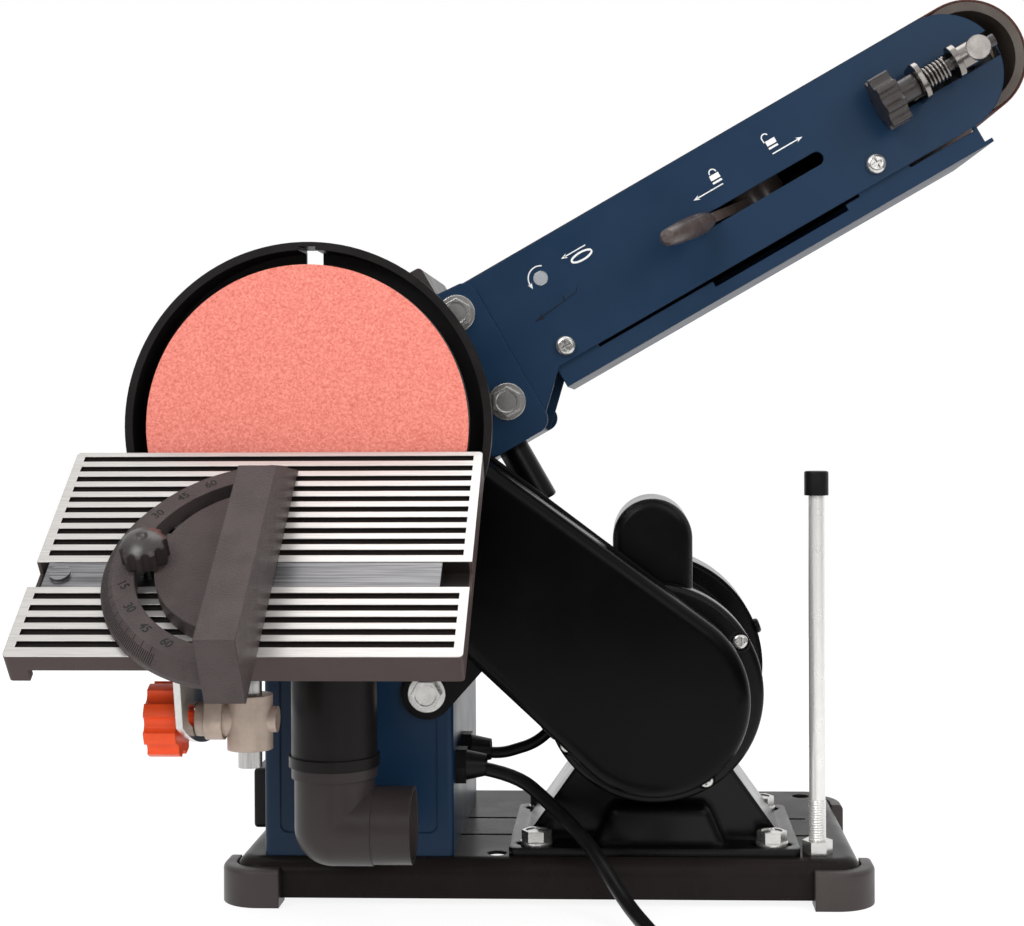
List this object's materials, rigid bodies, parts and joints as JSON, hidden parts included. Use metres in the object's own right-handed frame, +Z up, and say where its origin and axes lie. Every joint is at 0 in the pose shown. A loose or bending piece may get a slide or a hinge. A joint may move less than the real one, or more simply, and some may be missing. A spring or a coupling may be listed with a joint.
{
  "type": "belt and disc sander",
  "caption": "Bench belt and disc sander: flat disc in a guard with tilting grooved table and mitre gauge, and a belt arm that swings up from a motor base.",
  "frame": {"origin": "middle of the base on the bench top", "axes": "+X to the right seen by the operator, +Y away from the operator, +Z up"},
  "size_m": [0.4511, 0.4225, 0.4465],
  "materials": {
    "black_enamel": "gloss black enamel",
    "navy_enamel": "navy blue enamel",
    "foot_rubber": "matt black rubber",
    "zinc": "zinc plated",
    "steel": "ground steel",
    "dark_plastic": "fine textured dark grey",
    "black_plastic": "satin black",
    "green_plastic": "gloss green",
    "red_plastic": "gloss red",
    "orange_plastic": "gloss orange",
    "cable": "satin black sheath",
    "motor_enamel": "satin black enamel",
    "aluminium": "machined aluminium",
    "winding": "laminated core with varnished winding",
    "bearing_steel": "polished bearing steel",
    "drive_rubber": "matt rubber",
    "disc_cloth": "red abrasive",
    "belt_cloth": "red brown abrasive",
    "beige_cast": "beige painted casting",
    "cast_grey": "dark grey-brown casting"
  },
  "bodies": {
    "frame": {"base_tray": "black_enamel", "rubber_feet": "foot_rubber", "pillar": "navy_enamel", "base_bolts": "zinc", "switch_housing": "dark_plastic", "cable_glands": "black_plastic", "motor_lead": "cable", "mains_lead": "cable", "mains_coil": "cable", "mains_plug": "black_plastic", "motor_foot": "motor_enamel", "motor_front_shield": "motor_enamel", "motor_shell": "motor_enamel", "fan_cowl": "motor_enamel", "stator": "winding", "capacitor_cover": "motor_enamel", "ball_bearings": "bearing_steel", "bearing_housings": "steel", "belt_guard_plate": "black_enamel", "belt_guard_cover": "black_enamel", "guard_fasteners": "zinc", "v_belt": "drive_rubber", "disc_guard": "dark_plastic", "stop_rod": "zinc", "stop_rod_cap": "foot_rubber", "support_rod": "steel", "cross_clamp": "beige_cast", "pivot_pin": "steel"},
    "motor_rotor": {"rotor": "steel", "cooling_fan": "black_plastic", "motor_pulley": "aluminium"},
    "spindle": {"spindle_shaft": "steel", "spindle_pulley": "aluminium", "drive_drum": "aluminium", "disc_plate": "aluminium", "abrasive_disc": "disc_cloth"},
    "arm": {"arm_channel": "navy_enamel", "arm_root_plates": "navy_enamel", "arm_bolts": "zinc", "lower_cover": "navy_enamel", "cover_screws": "zinc", "drum_guard": "dark_plastic", "sanding_belt": "belt_cloth", "support_bar": "black_enamel"},
    "lever": {"tension_lever": "black_plastic"},
    "yoke": {"idler_yoke": "zinc", "tracking_bracket": "zinc", "tracking_spring": "zinc"},
    "axle": {"idler_axle": "steel"},
    "idler": {"idler_roller": "cast_grey"},
    "tracking": {"tracking_knob": "black_plastic"},
    "tilting_table": {"table": "aluminium", "tilt_sector": "zinc"},
    "tilt_lock": {"tilt_knob": "orange_plastic"},
    "mitre_slide_bar": {"mitre_bar": "zinc"},
    "mitre_gauge": {"mitre_head": "cast_grey"},
    "mitre_lock": {"mitre_knob": "black_plastic"},
    "elbow": {"dust_elbow": "dark_plastic"},
    "start": {"start_button": "green_plastic"},
    "stop": {"stop_button": "red_plastic"}
  },
  "joints": [
    {"name": "spindle_spin", "type": "hinge", "parent": "frame", "child": "spindle", "pos_m": [-0.1075, 0, 0.2355], "axis": [0, 1, 0], "continuous": true},
    {"name": "rotor_spin", "type": "hinge", "parent": "frame", "child": "motor_rotor", "pos_m": [0.053, 0, 0.103], "axis": [0, 1, 0], "continuous": true},
    {"name": "arm_swing", "type": "hinge", "parent": "frame", "child": "arm", "pos_m": [-0.1075, 0, 0.2355], "axis": [0, -1, 0], "range_deg": [-24.8, 60.3]},
    {"name": "yoke_slide", "type": "slide", "parent": "arm", "child": "yoke", "axis": [0.8686, 0, 0.4955], "range_m": [-0.01, 0]},
    {"name": "lever_swing", "type": "hinge", "parent": "arm", "child": "lever", "pos_m": [0.10228, -0.024, 0.35515], "axis": [-0.4955, 0, 0.8686], "range_deg": [0, 64.4]},
    {"name": "axle_track", "type": "hinge", "parent": "yoke", "child": "axle", "pos_m": [0.21049, 0.04675, 0.41688], "axis": [-0.4955, 0, 0.8686], "range_deg": [-0.5, 0]},
    {"name": "tracking_turn", "type": "hinge", "parent": "yoke", "child": "tracking", "pos_m": [0.17046, -0.0795, 0.39405], "axis": [0.8686, 0, 0.4955], "range_deg": [0, 360]},
    {"name": "idler_spin", "type": "hinge", "parent": "axle", "child": "idler", "pos_m": [0.21049, 0, 0.41688], "axis": [0, 1, 0], "continuous": true},
    {"name": "table_tilt", "type": "hinge", "parent": "frame", "child": "tilting_table", "pos_m": [-0.141, -0.1439, 0.2095], "axis": [1, 0, 0], "range_deg": [-38, 7]},
    {"name": "tilt_lock_turn", "type": "hinge", "parent": "frame", "child": "tilt_lock", "pos_m": [-0.155, -0.174, 0.107], "axis": [1, 0, 0], "range_deg": [-180, 180]},
    {"name": "mitre_slide", "type": "slide", "parent": "tilting_table", "child": "mitre_slide_bar", "axis": [1, 0, 0], "range_m": [-0.08, 0.08]},
    {"name": "mitre_swing", "type": "hinge", "parent": "mitre_slide_bar", "child": "mitre_gauge", "pos_m": [-0.112, -0.20881, 0.17401], "axis": [0, -0.6157, 0.788], "range_deg": [-60, 60]},
    {"name": "mitre_lock_turn", "type": "hinge", "parent": "mitre_slide_bar", "child": "mitre_lock", "pos_m": [-0.1607, -0.20881, 0.17401], "axis": [0, -0.6157, 0.788], "range_deg": [-180, 180]},
    {"name": "elbow_swivel", "type": "hinge", "parent": "frame", "child": "elbow", "pos_m": [-0.098, -0.118, 0.06], "axis": [0, 0, 1], "range_deg": [-180, 0]},
    {"name": "start_press", "type": "slide", "parent": "frame", "child": "start", "axis": [1, 0, 0], "range_m": [0, 0.0025], "stiffness_N_per_m": 300},
    {"name": "stop_press", "type": "slide", "parent": "frame", "child": "stop", "axis": [1, 0, 0], "range_m": [0, 0.0025], "stiffness_N_per_m": 300}
  ],
  "couplings": [
    {"joint": "rotor_spin", "follows": "spindle_spin", "ratio": 0.63303},
    {"joint": "idler_spin", "follows": "spindle_spin", "ratio": 1},
    {"joint": "lever_swing", "follows": "yoke_slide", "rad_per_m": -112.4},
    {"joint": "tracking_turn", "follows": "axle_track", "ratio": -720}
  ]
}
